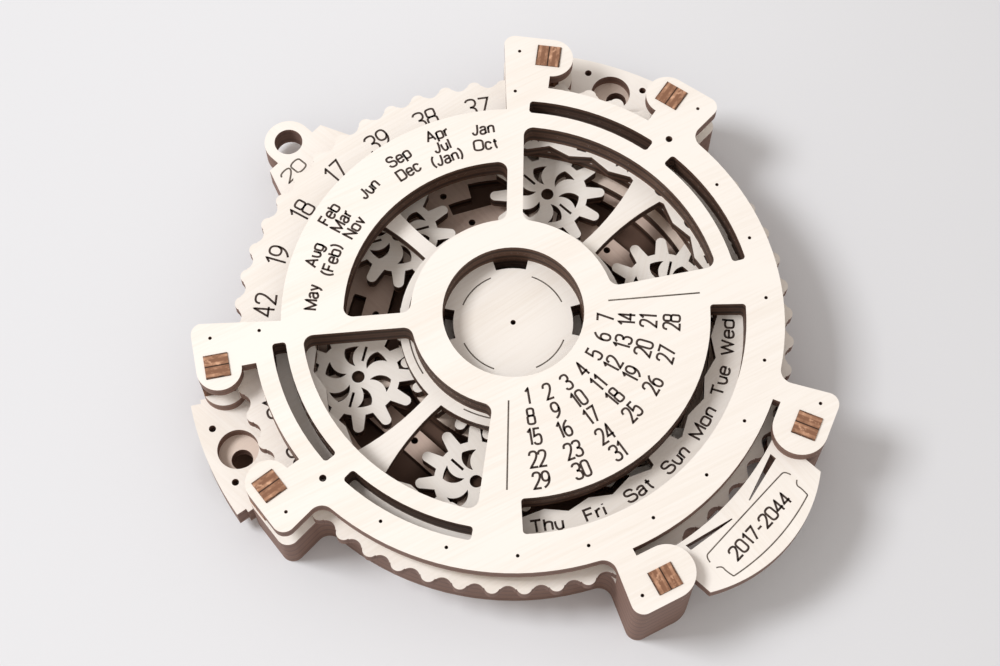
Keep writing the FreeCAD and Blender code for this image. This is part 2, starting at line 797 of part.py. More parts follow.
def arc_slots(body, name, thickness):
    """Four arc slots between the spokes of the centre disc."""
    drawing = Drawing(body, name)
    half = math.radians(size("arc_slot_half_angle"))
    low, high = size("arc_slot_inner"), size("arc_slot_outer")
    minus = "-sizes.arc_slot_half_angle"
    plus = "sizes.arc_slot_half_angle"
    corners = [
        (low * math.cos(half), -low * math.sin(half)) + polar_text("sizes.arc_slot_inner", minus),
        (high * math.cos(half), -high * math.sin(half)) + polar_text("sizes.arc_slot_outer", minus),
        (high * math.cos(half), high * math.sin(half)) + polar_text("sizes.arc_slot_outer", plus),
        (low * math.cos(half), low * math.sin(half)) + polar_text("sizes.arc_slot_inner", plus),
    ]
    bulges = [None, (high, 0, "sizes.arc_slot_outer"), None, (low, 0, "sizes.arc_slot_inner")]
    drawing.loop(corners, bulges)
    drawing.sketch.Placement = turned(45)
    cut = pocket(body, drawing, name + "_cut", thickness)
    around(body, cut, drawing, name + "_ring", "sizes.sun_teeth / 6")


def rim(body, thickness):
    """Ring of the wheel with a wavy outer edge of crests and scallops."""
    ring = Drawing(body, "rim")
    ring.circle(size("wheel_rim"), "sizes.wheel_rim")
    ring.circle(size("zigzag_inner"), "sizes.zigzag_inner")
    pad(body, ring, "rim_pad", thickness)
    crest = Drawing(body, "crest")
    crest.circle(size("crest_radius"), "sizes.crest_radius", size("crest_centre"), "sizes.crest_centre")
    bump = pad(body, crest, "crest_pad", thickness)
    around(body, bump, crest, "crest_ring", "sizes.scallop_count")
    scallop = Drawing(body, "scallop")
    scallop.circle(size("scallop_radius"), "sizes.scallop_radius",
                   size("scallop_centre"), "sizes.scallop_centre")
    scallop.sketch.Placement = turned(180.0 / size("scallop_count"))
    cut = pocket(body, scallop, "scallop_cut", "2 * sizes.ply")
    around(body, cut, scallop, "scallop_ring", "sizes.scallop_count")


def zigzag_edge(body):
    """Zigzag cut into the inner edge of the wheel's ring."""
    zigzag = Drawing(body, "zigzag")
    pitch = 180.0 / size("zigzag_count")
    turn = math.radians(pitch)
    inner, outer = size("zigzag_inner"), size("zigzag_outer")
    foot = inner - size("ply")
    foot_text = "(sizes.zigzag_inner - sizes.ply)"
    minus, plus = "(-180 / sizes.zigzag_count)", "(180 / sizes.zigzag_count)"
    zigzag.loop([
        (foot * math.cos(turn), -foot * math.sin(turn)) + polar_text(foot_text, minus),
        (inner * math.cos(turn), -inner * math.sin(turn)) + polar_text("sizes.zigzag_inner", minus),
        (outer, 0, "sizes.zigzag_outer", "0 * sizes.ply"),
        (inner * math.cos(turn), inner * math.sin(turn)) + polar_text("sizes.zigzag_inner", plus),
        (foot * math.cos(turn), foot * math.sin(turn)) + polar_text(foot_text, plus),
    ], [None, None, None, None, None])
    zigzag.sketch.Placement = turned(pitch)
    cut = pocket(body, zigzag, "zigzag_cut", "2 * sizes.ply")
    around(body, cut, zigzag, "zigzag_ring", "sizes.zigzag_count")


def hollow_point(first, last, radius):
    """Middle point of the hollow side of a spoke between its two ends."""
    chord = math.hypot(last[0] - first[0], last[1] - first[1])
    sag = radius - math.sqrt(radius ** 2 - chord ** 2 / 4.0)
    along = ((last[0] - first[0]) / chord, (last[1] - first[1]) / chord)
    return (first[0] + last[0]) / 2.0 + sag * along[1], (first[1] + last[1]) / 2.0 - sag * along[0]


def wheel():
    """Wheel: rim with the years and weekdays, four waisted spokes and the closed centre disc."""
    body = new_body("calendar_wheel")
    thickness = "sizes.ply - 2 * sizes.face_gap"
    deep = "2 * sizes.ply"
    rim(body, thickness)
    zigzag_edge(body)
    spoke = Drawing(body, "wheel_spoke")
    low, high = size("wheel_hub") - size("ply"), size("zigzag_outer") + size("face_gap")
    root, tip = size("wheel_spoke_root") / 2.0, size("wheel_spoke_tip") / 2.0
    low_text, high_text = "sizes.wheel_hub - sizes.ply", "sizes.zigzag_outer + sizes.face_gap"
    side = hollow_point((low, root), (high, tip), size("wheel_spoke_arc"))
    arc = "sizes.wheel_spoke_arc"
    spoke.loop([
        (low, -root, low_text, "-sizes.wheel_spoke_root / 2"),
        (high, -tip, high_text, "-sizes.wheel_spoke_tip / 2"),
        (high, tip, high_text, "sizes.wheel_spoke_tip / 2"),
        (low, root, low_text, "sizes.wheel_spoke_root / 2"),
    ], [(side[0], -side[1], arc), None, (side[0], side[1], arc), None])
    beam = pad(body, spoke, "wheel_spoke_pad", thickness)
    around(body, beam, spoke, "wheel_spoke_ring", "sizes.sun_teeth / 6")
    hub = Drawing(body, "wheel_hub")
    hub.circle(size("wheel_hub"), "sizes.wheel_hub")
    pad(body, hub, "wheel_hub_pad", thickness)
    dowel_cuts(body, "wheel_dowel", deep)
    arc_slots(body, "wheel_arc", deep)
    mark = Drawing(body, "wheel_mark")
    mark.circle(size("centre_mark"), "sizes.centre_mark")
    pocket(body, mark, "wheel_mark_cut", deep)
    return node(body, "calendar_wheel", "4 * sizes.ply + sizes.face_gap")


for number in range(1, 7):
    planet(number)
sun()
wheel()


# Turned and sawn pieces from plain solids


def cylinder(name, radius, height):
    """Round bar standing on the plane."""
    bar_piece = doc.addObject("Part::Cylinder", name)
    bar_piece.setExpression("Radius", radius)
    bar_piece.setExpression("Height", height)
    return bar_piece


def box(name, length, width, height, x_place, y_place, z_place):
    """Block given by its sides and its lowest corner."""
    block = doc.addObject("Part::Box", name)
    block.setExpression("Length", length)
    block.setExpression("Width", width)
    block.setExpression("Height", height)
    block.setExpression("Placement.Base.x", x_place)
    block.setExpression("Placement.Base.y", y_place)
    block.setExpression("Placement.Base.z", z_place)
    return block


node(cylinder("hub_pivot", "sizes.pivot_radius", "4 * sizes.ply"), "hub_pivot")

for number in range(1, 7):
    angle = 30 + 60 * (number - 1)
    height = "3 * sizes.ply - sizes.axle_drop"
    axle = cylinder("planet_axle_%d" % number, "sizes.planet_bore - sizes.run_gap", height)
    axle.setExpression("Placement.Base.x", "sizes.planet_circle * cos(%d * 1 deg)" % angle)
    axle.setExpression("Placement.Base.y", "sizes.planet_circle * sin(%d * 1 deg)" % angle)
    node(axle, "planet_axle_%d" % number)

round_block = cylinder("hub_spacer_round", "sizes.hub_spacer_radius", "sizes.ply")
round_hole = cylinder("hub_spacer_bore", "sizes.pivot_radius + sizes.run_gap", "2 * sizes.ply")
round_hole.setExpression("Placement.Base.z", "-sizes.ply / 2")
hub_holes = [round_hole]
for number in range(4):
    hole = cylinder("hub_spacer_hole_%d" % number, "sizes.dowel_radius + sizes.press_gap", "2 * sizes.ply")
    hole.setExpression("Placement.Base.x", "sizes.dowel_circle * cos(%d * 1 deg)" % (90 * number))
    hole.setExpression("Placement.Base.y", "sizes.dowel_circle * sin(%d * 1 deg)" % (90 * number))
    hole.setExpression("Placement.Base.z", "-sizes.ply / 2")
    hub_holes.append(hole)
    outside = cylinder("arc_outside_%d" % number, "sizes.arc_slot_outer", "2 * sizes.ply")
    inside = cylinder("arc_inside_%d" % number, "sizes.arc_slot_inner", "2 * sizes.ply")
    outside.setExpression("Angle", "2 * sizes.arc_slot_half_angle * 1 deg")
    slot = doc.addObject("Part::Cut", "arc_slot_%d" % number)
    slot.Base = outside
    slot.Tool = inside
    slot.setExpression("Placement.Base.z", "-sizes.ply / 2")
    turn = 90 * number + 45 - size("arc_slot_half_angle")
    slot.Placement.Rotation = FreeCAD.Rotation(FreeCAD.Vector(0, 0, 1), turn)
    hub_holes.append(slot)
hub_tools = doc.addObject("Part::MultiFuse", "hub_spacer_tools")
hub_tools.Shapes = hub_holes
spacer = doc.addObject("Part::Cut", "hub_spacer")
spacer.Base = round_block
spacer.Tool = hub_tools
node(spacer, "hub_spacer", "3 * sizes.ply + sizes.face_gap")

dowels = []
for number in range(4):
    dowel = cylinder("hub_dowel_%d" % number, "sizes.dowel_radius", "3 * sizes.ply - 2 * sizes.face_gap")
    dowel.setExpression("Placement.Base.x", "sizes.dowel_circle * cos(%d * 1 deg)" % (90 * number))
    dowel.setExpression("Placement.Base.y", "sizes.dowel_circle * sin(%d * 1 deg)" % (90 * number))
    dowels.append(dowel)
dowel_group = doc.addObject("Part::Compound", "hub_dowels")
dowel_group.Links = dowels
node(dowel_group, "hub_dowels", "2 * sizes.ply + sizes.face_gap")


def post(number, kind, angle, shoulder):
    """Post of two plies side by side. Side posts have a shoulder that spaces the plates."""
    halves = []
    inner = "sizes.{0}_ear_outer - sizes.{0}_post_inset - sizes.post_width / 2".format(kind)
    height = "7 * sizes.ply + sizes.post_proud"
    wide_width = "sizes.post_width + sizes.post_shoulder"
    for index, offset in enumerate(("-sizes.post_ply", "0 * sizes.ply")):
        name = "post_%d_%d" % (number, index)
        place = (inner, offset, "0 * sizes.ply")
        stem = box(name + "_stem", "sizes.post_width", "sizes.post_ply", height, *place)
        if not shoulder:
            halves.append(stem)
            continue
        levels = ("2 * sizes.ply", inner, offset, "4 * sizes.ply")
        wide = box(name + "_wide", wide_width, "sizes.post_ply", *levels)
        half = doc.addObject("Part::Fuse", name)
        half.Base = stem
        half.Tool = wide
        half.Refine = True
        halves.append(half)
    pair = doc.addObject("Part::Compound", "post_%d" % number)
    pair.Links = halves
    pair.Placement.Rotation = FreeCAD.Rotation(FreeCAD.Vector(0, 0, 1), angle)
    return node(pair, "post_%d" % number)


upper = size("pair_angle") + size("pair_ear_angle")
lower = size("pair_angle") - size("pair_ear_angle")
post(1, "pair", upper, True)
post(2, "pair", lower, True)
post(3, "foot", size("foot_ear_angle") - 90, False)
post(4, "foot", -90 - size("foot_ear_angle"), False)
post(5, "pair", 180 - lower, True)
post(6, "pair", 180 - upper, True)

doc.recompute()
for obj in doc.Objects:
    if "Invalid" in obj.State or "Error" in obj.State:
        raise RuntimeError("state of %s: %s" % (obj.Label, obj.State))
os.makedirs("parts", exist_ok=True)
for obj in nodes:
    if obj.Shape.isNull() or not obj.Shape.isValid():
        raise RuntimeError("shape of %s" % obj.Label)
    obj.Shape.exportStep("parts/%s.step" % obj.Label)
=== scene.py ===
"""A perpetual desk calendar in laser-cut plywood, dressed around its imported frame.

The shapes of the plies, posts and gears come from the frame. This script gives them their
finishes, adds the engraved lettering and lines, and sets up the floor, lamp and camera.
"""
import logging
import math
from dataclasses import dataclass, field
from enum import Enum

import bpy
import numpy as np
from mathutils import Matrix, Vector


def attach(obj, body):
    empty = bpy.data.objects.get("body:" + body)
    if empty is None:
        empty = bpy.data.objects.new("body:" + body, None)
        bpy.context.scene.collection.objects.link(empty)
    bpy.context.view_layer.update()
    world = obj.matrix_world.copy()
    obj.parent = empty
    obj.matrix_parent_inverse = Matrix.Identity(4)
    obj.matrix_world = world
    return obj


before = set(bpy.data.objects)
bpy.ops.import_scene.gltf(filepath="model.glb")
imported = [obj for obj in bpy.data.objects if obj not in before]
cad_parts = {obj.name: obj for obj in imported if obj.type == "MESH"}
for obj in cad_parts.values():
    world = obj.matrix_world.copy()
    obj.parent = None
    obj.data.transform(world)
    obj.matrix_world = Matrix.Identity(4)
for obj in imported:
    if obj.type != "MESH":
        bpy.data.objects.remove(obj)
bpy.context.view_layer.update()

MM = 0.001
LOG = logging.getLogger("calendar")
Path = list[tuple[float, float]]
Points = tuple[tuple[float, float], ...]
Triple = tuple[float, float, float]
Socket = bpy.types.NodeSocket
BLACK: Triple = (0.0, 0.0, 0.0)
WHITE: Triple = (1.0, 1.0, 1.0)
SAME = 1e-6  # distance below which two points count as one
FOLD = 0.3  # a bend whose two unit directions add up to less than this folds back on itself
MITRE = 0.6  # least cosine a mitre is worked out with, so that sharp bends stay short


# Curves and ribbons


def smooth_curve(points: Path, closed: bool = False, steps: int = 7) -> np.ndarray:
    """Quadratic B-spline: each control point pulls the line between its two neighbours' midpoints.

    Args:
        points: control points in the plane; a point given twice makes a sharp corner.
        closed: whether the line returns to its start.
        steps: samples for each control point.

    Returns:
        Points on the curve, one row each, without repeats.
    """
    control = np.array(points, float)
    if closed:
        start = (np.roll(control, 1, axis=0) + control) / 2
        end = (control + np.roll(control, -1, axis=0)) / 2
        middle = control
    elif len(control) == 2:
        return control
    else:
        joints = (control[1:-2] + control[2:-1]) / 2
        start = np.vstack([control[:1], joints])
        end = np.vstack([joints, control[-1:]])
        middle = control[1:-1]
    t = np.linspace(0.0, 1.0, steps, endpoint=False)[None, :, None]
    curve = (1 - t) ** 2 * start[:, None] + 2 * t * (1 - t) * middle[:, None] + t**2 * end[:, None]
    line = curve.reshape(-1, 2)
    if not closed:
        line = np.vstack([line, control[-1:]])
    step = np.linalg.norm(np.diff(line, axis=0), axis=1)
    keep = np.concatenate([[True], step > SAME])
    line = line[keep]
    if closed and np.linalg.norm(line[0] - line[-1]) < SAME:
        line = line[:-1]
    return line


def arc_line(radius: float, start: float, end: float, steps: int = 24) -> np.ndarray:
    """Points at one radius while the angle runs evenly from start to end, in degrees."""
    turn = np.radians(np.linspace(start, end, steps))
    return np.stack([radius * np.cos(turn), radius * np.sin(turn)], axis=1)


@dataclass
class Ribbons:
    """A set of flat bars, each a rectangle carried along a path, gathered in one mesh."""

    width: float
    top: float
    depth: float
    points: list[np.ndarray] = field(default_factory=list)
    quads: list[np.ndarray] = field(default_factory=list)
    count: int = 0

    def add(self, path: np.ndarray, closed: bool = False) -> None:
        """Carry the rectangle along a path: each side runs half a width off the line, mitred at bends.

        Args:
            path: points of the middle line in mm.
            closed: whether the bar is a ring.
        """
        if closed:
            along = np.roll(path, -1, axis=0) - path
            before = np.roll(along, 1, axis=0)
        else:
            gap = np.diff(path, axis=0)
            along = np.vstack([gap, gap[-1:]])
            before = np.vstack([gap[:1], gap])
        along = along / np.linalg.norm(along, axis=1, keepdims=True)
        before = before / np.linalg.norm(before, axis=1, keepdims=True)
        middle = along + before
        size = np.linalg.norm(middle, axis=1, keepdims=True)
        middle = np.where(size > FOLD, middle / np.maximum(size, SAME), along)
        reach = 1.0 / np.clip(np.abs(np.sum(middle * along, axis=1, keepdims=True)), MITRE, 1.0)
        side = np.stack([-middle[:, 1], middle[:, 0]], axis=1) * reach * self.width / 2
        total = len(path)
        ring = np.zeros((total, 4, 3))
        ring[:, 0:2, :2] = (path + side)[:, None]
        ring[:, 2:4, :2] = (path - side)[:, None]
        ring[:, [0, 3], 2] = self.top
        ring[:, [1, 2], 2] = self.top - self.depth
        near = np.arange(total if closed else total - 1)[:, None] * 4
        far = (near + 4) % (4 * total)
        corner = np.arange(4)[None, :]
        after = (corner + 1) % 4
        faces = np.stack([near + corner, far + corner, far + after, near + after], axis=2).reshape(-1, 4)
        if not closed:
            last = 4 * (total - 1)
            caps = np.array([[0, 1, 2, 3], [last + 3, last + 2, last + 1, last]])
            faces = np.vstack([faces, caps])
        self.points.append(ring.reshape(-1, 3))
        self.quads.append(faces + self.count)
        self.count += 4 * total

    def build(self, name: str) -> bpy.types.Object:
        """Put all bars into one mesh object."""
        return mesh_object(name, np.vstack(self.points) * MM, np.vstack(self.quads))


def mesh_object(name: str, points: np.ndarray, quads: np.ndarray) -> bpy.types.Object:
    """Make an object at the origin from points in metres and four-cornered faces.

    Args:
        name: name of the piece.
        points: one row for each point.
        quads: one row of four point numbers for each face.

    Returns:
        The linked object.
    """
    mesh = bpy.data.meshes.new(name)
    mesh.vertices.add(len(points))
    mesh.vertices.foreach_set("co", np.ascontiguousarray(points, np.float32).ravel())
    mesh.loops.add(quads.size)
    mesh.loops.foreach_set("vertex_index", quads.astype(np.int32).ravel())
    mesh.polygons.add(len(quads))
    mesh.polygons.foreach_set("loop_start", np.arange(0, quads.size, 4, dtype=np.int32))
    mesh.polygons.foreach_set("loop_total", np.full(len(quads), 4, np.int32))
    mesh.update(calc_edges=True)
    piece = bpy.data.objects.new(name, mesh)
    bpy.context.scene.collection.objects.link(piece)
    return piece


# Lettering


ROUND = ((0.0, 0.35), (0.0, 0.72), (0.5, 0.72), (0.5, 0.35), (0.5, -0.02), (0.0, -0.02))
ARCH = ((0.0, 0.38), (0.0, 0.72), (0.44, 0.74), (0.44, 0.4), (0.44, 0.0))
OPEN, LOOP = False, True
GLYPHS = {
    "0": (0.5, ((LOOP, ((0, 0.5), (0, 1), (0.5, 1), (0.5, 0.5), (0.5, 0), (0, 0))),)),
    "1": (0.3, ((OPEN, ((0.04, 0.8), (0.24, 1), (0.24, 1), (0.24, 0))),)),
    "2": (0.5, ((OPEN, ((0, 0.75), (0, 1), (0.5, 1), (0.5, 0.6), (0, 0), (0, 0), (0.5, 0))),)),
    "3": (0.5, ((OPEN, ((0, 0.84), (0.02, 1), (0.5, 1), (0.5, 0.55), (0.2, 0.53))),
                (OPEN, ((0.2, 0.53), (0.52, 0.52), (0.52, 0), (0, 0), (0, 0.18))))),
    "4": (0.5, ((OPEN, ((0.37, 0), (0.37, 1), (0.37, 1), (0, 0.3), (0, 0.3), (0.5, 0.3))),)),
    "5": (0.5, ((OPEN, ((0.46, 1), (0.07, 1), (0.07, 1), (0.04, 0.52), (0.04, 0.52), (0.5, 0.68),
                        (0.52, 0), (0.02, 0), (0, 0.16))),)),
    "6": (0.5, ((OPEN, ((0.42, 1), (0, 0.8), (0, 0), (0.5, 0), (0.5, 0.58), (0.05, 0.6), (0, 0.34))),)),
    "7": (0.5, ((OPEN, ((0, 1), (0.5, 1), (0.5, 1), (0.16, 0))),)),
    "8": (0.5, ((LOOP, ((0.03, 0.77), (0.03, 1), (0.47, 1), (0.47, 0.77), (0.47, 0.54), (0.03, 0.54))),
                (LOOP, ((0, 0.27), (0, 0.54), (0.5, 0.54), (0.5, 0.27), (0.5, 0), (0, 0))))),
    "9": (0.5, ((OPEN, ((0.08, 0), (0.5, 0.2), (0.5, 1), (0, 1), (0, 0.42), (0.45, 0.4), (0.5, 0.66))),)),
    "-": (0.36, ((OPEN, ((0.02, 0.44), (0.34, 0.44))),)),
    "(": (0.2, ((OPEN, ((0.2, 1.08), (0, 0.9), (0, 0.1), (0.2, -0.12))),)),
    ")": (0.2, ((OPEN, ((0, 1.08), (0.2, 0.9), (0.2, 0.1), (0, -0.12))),)),
    "A": (0.68, ((OPEN, ((0, 0), (0.34, 1), (0.34, 1), (0.68, 0))), (OPEN, ((0.12, 0.34), (0.56, 0.34))))),
    "D": (0.62, ((LOOP, ((0, 0), (0, 0), (0, 1), (0, 1), (0.62, 1.02), (0.62, 0.5), (0.62, -0.02))),)),
    "F": (0.5, ((OPEN, ((0, 0), (0, 1), (0, 1), (0.5, 1))), (OPEN, ((0, 0.52), (0.42, 0.52))))),
    "J": (0.42, ((OPEN, ((0.42, 1), (0.42, -0.02), (0, -0.02), (0, 0.26))),)),
    "M": (0.78, ((OPEN, ((0, 0), (0, 1), (0, 1), (0.39, 0.08), (0.39, 0.08), (0.78, 1), (0.78, 1),
                         (0.78, 0))),)),
    "N": (0.6, ((OPEN, ((0, 0), (0, 1), (0, 1), (0.6, 0), (0.6, 0), (0.6, 1))),)),
    "O": (0.74, ((LOOP, ((0, 0.5), (0, 1.02), (0.74, 1.02), (0.74, 0.5), (0.74, -0.02), (0, -0.02))),)),
    "S": (0.6, ((OPEN, ((0.56, 0.76), (0.54, 1.02), (0.02, 1.04), (0.02, 0.56), (0.6, 0.52), (0.62, -0.04),
                        (0.02, -0.02), (0, 0.26))),)),
    "T": (0.62, ((OPEN, ((0, 1), (0.62, 1))), (OPEN, ((0.31, 1), (0.31, 0))))),
    "W": (0.92, ((OPEN, ((0, 1), (0.23, 0), (0.23, 0), (0.46, 0.94), (0.46, 0.94), (0.69, 0), (0.69, 0),
                         (0.92, 1))),)),
    "a": (0.48, ((OPEN, ((0.04, 0.56), (0.06, 0.72), (0.44, 0.74), (0.44, 0.4), (0.44, 0.08), (0.5, 0))),
                 (OPEN, ((0.44, 0.42), (0, 0.42), (0, -0.03), (0.4, -0.03), (0.44, 0.2))))),
    "b": (0.5, ((OPEN, ((0, 1), (0, 0))), (LOOP, ROUND))),
    "c": (0.46, ((OPEN, ((0.46, 0.52), (0.42, 0.72), (0, 0.74), (0, -0.04), (0.42, -0.02), (0.46, 0.18))),)),
    "d": (0.5, ((OPEN, ((0.5, 1), (0.5, 0))), (LOOP, ROUND))),
    "e": (0.48, ((OPEN, ((0.02, 0.37), (0.48, 0.37), (0.48, 0.37), (0.48, 0.72), (0, 0.74), (0, -0.04),
                         (0.42, -0.03), (0.47, 0.15))),)),
    "g": (0.5, ((LOOP, ROUND), (OPEN, ((0.5, 0.7), (0.5, -0.3), (0.02, -0.3), (0, -0.12))))),
    "h": (0.44, ((OPEN, ((0, 1), (0, 0))), (OPEN, ARCH))),
    "i": (0.06, ((OPEN, ((0.03, 0.7), (0.03, 0))), (OPEN, ((0.03, 1), (0.03, 0.9))))),
    "l": (0.06, ((OPEN, ((0.03, 1), (0.03, 0))),)),
    "n": (0.44, ((OPEN, ((0, 0.7), (0, 0))), (OPEN, ARCH))),
    "o": (0.5, ((LOOP, ROUND),)),
    "p": (0.5, ((OPEN, ((0, 0.7), (0, -0.3))), (LOOP, ROUND))),
    "r": (0.28, ((OPEN, ((0, 0.7), (0, 0))), (OPEN, ((0, 0.38), (0.02, 0.7), (0.28, 0.69))))),
    "t": (0.3, ((OPEN, ((0.13, 0.95), (0.13, 0.02), (0.3, 0))), (OPEN, ((0, 0.7), (0.3, 0.7))))),
    "u": (0.44, ((OPEN, ((0, 0.7), (0, -0.04), (0.44, -0.04), (0.44, 0.32))),
                 (OPEN, ((0.44, 0.7), (0.44, 0))))),
    "v": (0.44, ((OPEN, ((0, 0.7), (0.22, 0), (0.22, 0), (0.44, 0.7))),)),
    "y": (0.44, ((OPEN, ((0, 0.7), (0.22, 0.04))), (OPEN, ((0.44, 0.7), (0.2, -0.3), (0, -0.28))))),
}


class Reading(Enum):
    """Which way the tops of letters point on the dial."""

    OUTWARD = -90.0
    INWARD = 90.0


@dataclass(frozen=True)
class Script:
    """How a word is engraved: letter height, width against height, and the space between letters."""

    height: float
    stretch: float = 1.0
    space: float = 0.2

    def fitted(self, word: str, width: float) -> "Script":
        """Stretch the letters until a word has a given length.

        Args:
            word: the word.
            width: its length in mm.

        Returns:
            A script of the same height and space, with the stretch that this takes.
        """
        letters = sum(GLYPHS[letter][0] for letter in word)
        spaces = self.space * (len(word) - 1)
        return Script(self.height, (width / self.height - spaces) / letters, self.space)

    def length(self, word: str) -> float:
        """Length of a word in mm, with the spaces between its letters."""
        widths = [GLYPHS[letter][0] * self.stretch for letter in word]
        return self.height * (sum(widths) + self.space * (len(word) - 1))

    def engrave(self, ribbons: Ribbons, word: str, centre: tuple[float, float], turn: float) -> None:
        """Lay the strokes of a word along a straight line.

        Args:
            ribbons: the mesh that takes the strokes.
            word: the word.
            centre: middle of the word's baseline, in mm.
            turn: direction of the baseline in degrees.
        """
        angle = math.radians(turn)
        across = np.array([math.cos(angle), math.sin(angle)])
        upward = np.array([-math.sin(angle), math.cos(angle)])
        place = -self.length(word) / 2
        for letter in word:
            width, strokes = GLYPHS[letter]
            for closed, points in strokes:
                line = smooth_curve(list(points), closed)
                spot = place + line[:, :1] * self.stretch * self.height
                rise = line[:, 1:] * self.height
                ribbons.add(np.array(centre) + spot * across + rise * upward, closed)
            place += (width * self.stretch + self.space) * self.height

    def around(self, ribbons: Ribbons, word: str, radius: float, angle: float, reading: Reading) -> None:
        """Lay a word square to a radius of the dial.

        Args:
            ribbons: the mesh that takes the strokes.
            word: the word.
            radius: distance of the middle of the baseline from the dial's axis, in mm.
            angle: direction of that radius in degrees.
            reading: which way the tops of the letters point.
        """
        turn = math.radians(angle)
        centre = (radius * math.cos(turn), radius * math.sin(turn))
        self.engrave(ribbons, word, centre, angle + reading.value)


# Finishes


class Nodes:
    """A material's node tree with short calls for the nodes that the finishes use."""

    def __init__(self, name: str) -> None:
        """Start a material with an output and a principled shader.

        Args:
            name: name of the material.
        """
        self.material = bpy.data.materials.new(name)
        self.material.use_nodes = True
        self.tree = self.material.node_tree
        self.tree.nodes.clear()
        self.shader = self.add("ShaderNodeBsdfPrincipled")
        output = self.add("ShaderNodeOutputMaterial")
        self.link(self.shader.outputs["BSDF"], output.inputs["Surface"])

    def add(self, kind: str) -> bpy.types.Node:
        """Add a node of a kind."""
        return self.tree.nodes.new(kind)

    def link(self, source: Socket, target: Socket) -> None:
        """Join an output to an input."""
        self.tree.links.new(source, target)

    def mapped(self, turn: float, scale: Triple, shift: Triple = (0.0, 0.0, 0.0)) -> Socket:
        """Turn object coordinates about the upright axis, then shift and scale them.

        Args:
            turn: turn in degrees.
            scale: scale along each axis.
            shift: shift in metres, made after the turn and before the scaling.

        Returns:
            The vector socket.
        """
        place = self.add("ShaderNodeTexCoord")
        turned = self.add("ShaderNodeMapping")
        turned.inputs["Rotation"].default_value = (0.0, 0.0, math.radians(turn))
        turned.inputs["Location"].default_value = shift
        self.link(place.outputs["Object"], turned.inputs["Vector"])
        sized = self.add("ShaderNodeMapping")
        sized.inputs["Scale"].default_value = scale
        self.link(turned.outputs["Vector"], sized.inputs["Vector"])
        return sized.outputs["Vector"]

    def reach(self) -> Socket:
        """Measure how far a point lies from the upright axis through the object's origin.

        Returns:
            The socket of the distance in metres.
        """
        node = self.add("ShaderNodeVectorMath")
        node.operation = "LENGTH"
        self.link(self.mapped(0, (1, 1, 0)), node.inputs[0])
        return node.outputs["Value"]

    def noise(self, vector: Socket, detail: float, rough: float) -> Socket:
        """Read a noise texture at a vector, whose scale sets the size of the noise.

        Args:
            vector: the vector socket.
            detail: number of finer layers.
            rough: strength of the finer layers.

        Returns:
            The socket of the noise value.
        """
        node = self.add("ShaderNodeTexNoise")
        node.inputs["Scale"].default_value = 1.0
        node.inputs["Detail"].default_value = detail
        node.inputs["Roughness"].default_value = rough
        self.link(vector, node.inputs["Vector"])
        return node.outputs["Fac"]

    def math(self, kind: str, first: object, second: object = 0.0, clamp: bool = False) -> Socket:
        """Work out one operation on sockets or numbers.

        Args:
            kind: Blender's name of the operation.
            first: first socket or number.
            second: second socket or number.
            clamp: whether the result is held between zero and one.

        Returns:
            The socket of the result.
        """
        node = self.add("ShaderNodeMath")
        node.operation = kind
        node.use_clamp = clamp
        for index, value in enumerate((first, second)):
            if isinstance(value, Socket):
                self.link(value, node.inputs[index])
            else:
                node.inputs[index].default_value = value
        return node.outputs["Value"]

    def jitter(self, value: Socket, noise: Socket, amount: float) -> Socket:
        """Move a value up or down by a noise, with the given amount as the whole span."""
        return self.math("ADD", value, self.math("MULTIPLY", self.math("SUBTRACT", noise, 0.5), amount))

    def ramp(self, value: Socket, stops: list[tuple[float, Triple]]) -> Socket:
        """Turn a value into a colour that blends from stop to stop.

        Args:
            value: the socket of the value.
            stops: position and colour of each stop, in rising order.

        Returns:
            The colour socket.
        """
        node = self.add("ShaderNodeValToRGB")
        band = node.color_ramp
        while len(band.elements) < len(stops):
            band.elements.new(1.0)
        for element, (position, colour) in zip(band.elements, stops):
            element.position = position
            element.color = (*colour, 1.0)
        self.link(value, node.inputs["Fac"])
        return node.outputs["Color"]

    def blend(self, amount: Socket, first: object, second: object) -> Socket:
        """Mix two colours, each a socket or three numbers.

        Args:
            amount: socket that is zero for the first colour and one for the second.
            first: first colour.
            second: second colour.

        Returns:
            The colour socket.
        """
        node = self.add("ShaderNodeMix")
        node.data_type = "RGBA"
        self.link(amount, node.inputs["Factor"])
        for name, value in (("A", first), ("B", second)):
            socket = [item for item in node.inputs if item.name == name and item.type == "RGBA"][0]
            if isinstance(value, Socket):
                self.link(value, socket)
            else:
                socket.default_value = (*value, 1.0)
        return [item for item in node.outputs if item.type == "RGBA"][0]

    def upright(self) -> Socket:
        """Tell walls from faces that look up or down.

        Returns:
            A socket that is one on walls and zero on such faces.
        """
        shape = self.add("ShaderNodeNewGeometry")
        facing = self.add("ShaderNodeSeparateXYZ")
        self.link(shape.outputs["True Normal"], facing.inputs["Vector"])
        return self.math("LESS_THAN", self.math("ABSOLUTE", facing.outputs["Z"]), 0.6)

    def bump(self, height: Socket, distance: float, strength: float) -> None:
        """Raise the surface by a height value.

        Args:
            height: the socket of the value.
            distance: rise in metres for a value of one.
            strength: how strongly the rise shows.
        """
        node = self.add("ShaderNodeBump")
        node.inputs["Distance"].default_value = distance
        node.inputs["Strength"].default_value = strength
        self.link(height, node.inputs["Height"])
        self.link(node.outputs["Normal"], self.shader.inputs["Normal"])

    def surface(self, roughness: float, shine: float) -> None:
        """Set how rough the surface is and how strongly it mirrors."""
        self.shader.inputs["Roughness"].default_value = roughness
        self.shader.inputs["Specular IOR Level"].default_value = shine


